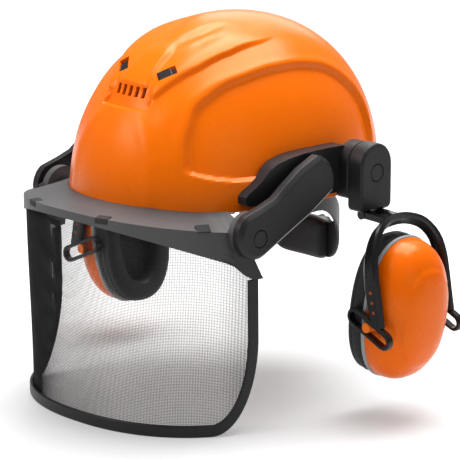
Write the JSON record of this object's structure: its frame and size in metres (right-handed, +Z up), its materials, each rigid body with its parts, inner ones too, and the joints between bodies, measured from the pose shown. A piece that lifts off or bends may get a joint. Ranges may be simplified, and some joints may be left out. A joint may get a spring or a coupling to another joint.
{
  "type": "forestry helmet",
  "caption": "Hard-shell forestry helmet with a flip-up mesh face visor on side arms and swing-away ear muffs, with an adjustable head harness inside.",
  "frame": {"origin": "middle of the head opening on the shell's rim plane", "axes": "+Z up towards the crown, -Y towards the face and visor, +X towards the wearer's left ear"},
  "size_m": [0.4208, 0.324, 0.3205],
  "materials": {
    "shell_orange": "satin gloss",
    "cup_orange": "satin gloss",
    "pin_orange": "satin",
    "charcoal": "satin",
    "mesh_black": "woven net",
    "trim_grey": "matt",
    "strap_grey": "woven webbing",
    "pad_black": "soft padded",
    "foam_dark": "open-cell foam"
  },
  "bodies": {
    "helmet": {"shell": "shell_orange", "headband": "charcoal", "sweatband": "pad_black", "crown_strap_front": "strap_grey", "crown_strap_middle": "strap_grey", "crown_strap_rear": "strap_grey", "anchor_clip_front_left": "charcoal", "anchor_clip_front_right": "charcoal", "anchor_clip_middle_left": "charcoal", "anchor_clip_middle_right": "charcoal", "anchor_clip_rear_left": "charcoal", "anchor_clip_rear_right": "charcoal", "carrier_left": "charcoal", "carrier_right": "charcoal", "arm_pivot_left": "charcoal", "arm_pivot_right": "charcoal"},
    "vent_left": {"vent_shutter_left": "charcoal"},
    "vent_right": {"vent_shutter_right": "charcoal"},
    "nape": {"nape_band": "charcoal", "nape_pad": "pad_black", "ratchet_housing": "charcoal"},
    "knob": {"ratchet_knob": "charcoal", "ratchet_pinion": "trim_grey"},
    "visor_arms": {"visor_arm_left": "charcoal", "visor_arm_right": "charcoal", "visor_pin_left": "charcoal", "visor_pin_right": "charcoal"},
    "visor": {"visor_frame": "charcoal", "visor_mesh": "mesh_black", "visor_rim": "charcoal"},
    "housing_left": {"muff_housing_left": "charcoal", "muff_pin_left": "charcoal"},
    "yoke_body_left": {"yoke_left": "charcoal"},
    "cup_pins_left": {"cup_pin_front_left": "pin_orange", "cup_pin_rear_left": "pin_orange"},
    "cup_left": {"ear_cup_left": "cup_orange", "cup_trim_left": "trim_grey", "ear_cushion_left": "pad_black", "ear_foam_left": "foam_dark"},
    "housing_right": {"muff_housing_right": "charcoal", "muff_pin_right": "charcoal"},
    "yoke_body_right": {"yoke_right": "charcoal"},
    "cup_pins_right": {"cup_pin_front_right": "pin_orange", "cup_pin_rear_right": "pin_orange"},
    "cup_right": {"ear_cup_right": "cup_orange", "cup_trim_right": "trim_grey", "ear_cushion_right": "pad_black", "ear_foam_right": "foam_dark"}
  },
  "joints": [
    {"name": "vent_left_slide", "type": "slide", "parent": "helmet", "child": "vent_left", "axis": [0.6227, 0.683, 0.3817], "range_m": [0, 0.004]},
    {"name": "vent_right_slide", "type": "slide", "parent": "helmet", "child": "vent_right", "axis": [-0.6227, 0.683, 0.3817], "range_m": [0, 0.004]},
    {"name": "nape_adjust", "type": "slide", "parent": "helmet", "child": "nape", "axis": [0, -1, 0], "range_m": [0, 0.011]},
    {"name": "knob_turn", "type": "hinge", "parent": "nape", "child": "knob", "pos_m": [0, 0.11, -0.067], "axis": [0, 1, 0], "range_deg": [0, 86]},
    {"name": "visor_arm_lift", "type": "hinge", "parent": "helmet", "child": "visor_arms", "pos_m": [0, -0.0224, 0.0194], "axis": [-1, 0, 0], "range_deg": [0, 75]},
    {"name": "visor_tilt", "type": "hinge", "parent": "visor_arms", "child": "visor", "pos_m": [0, -0.085, -0.015], "axis": [-1, 0, 0], "range_deg": [-15, 0]},
    {"name": "muff_park_left", "type": "hinge", "parent": "helmet", "child": "housing_left", "pos_m": [0.13, 0.0345, 0.023], "axis": [1, 0, 0], "range_deg": [0, 80]},
    {"name": "muff_swing_left", "type": "hinge", "parent": "housing_left", "child": "yoke_body_left", "pos_m": [0.138, 0.0345, -0.012], "axis": [0, -1, 0], "range_deg": [-44, 0]},
    {"name": "cup_slide_left", "type": "slide", "parent": "yoke_body_left", "child": "cup_pins_left", "axis": [-0.9135, 0, 0.4067], "range_m": [-0.01, 0.01]},
    {"name": "cup_tilt_left", "type": "hinge", "parent": "cup_pins_left", "child": "cup_left", "pos_m": [0.1775, 0.0345, -0.094], "axis": [0, 1, 0], "range_deg": [-36, 8]},
    {"name": "muff_park_right", "type": "hinge", "parent": "helmet", "child": "housing_right", "pos_m": [-0.13, 0.0345, 0.023], "axis": [1, 0, 0], "range_deg": [0, 80]},
    {"name": "muff_swing_right", "type": "hinge", "parent": "housing_right", "child": "yoke_body_right", "pos_m": [-0.138, 0.0345, -0.012], "axis": [0, 1, 0], "range_deg": [-44, 0]},
    {"name": "cup_slide_right", "type": "slide", "parent": "yoke_body_right", "child": "cup_pins_right", "axis": [0.9135, 0, 0.4067], "range_m": [-0.01, 0.01]},
    {"name": "cup_tilt_right", "type": "hinge", "parent": "cup_pins_right", "child": "cup_right", "pos_m": [-0.1775, 0.0345, -0.094], "axis": [0, -1, 0], "range_deg": [-36, 8]}
  ],
  "couplings": [
    {"joint": "knob_turn", "follows": "nape_adjust", "rad_per_m": 133.3}
  ]
}
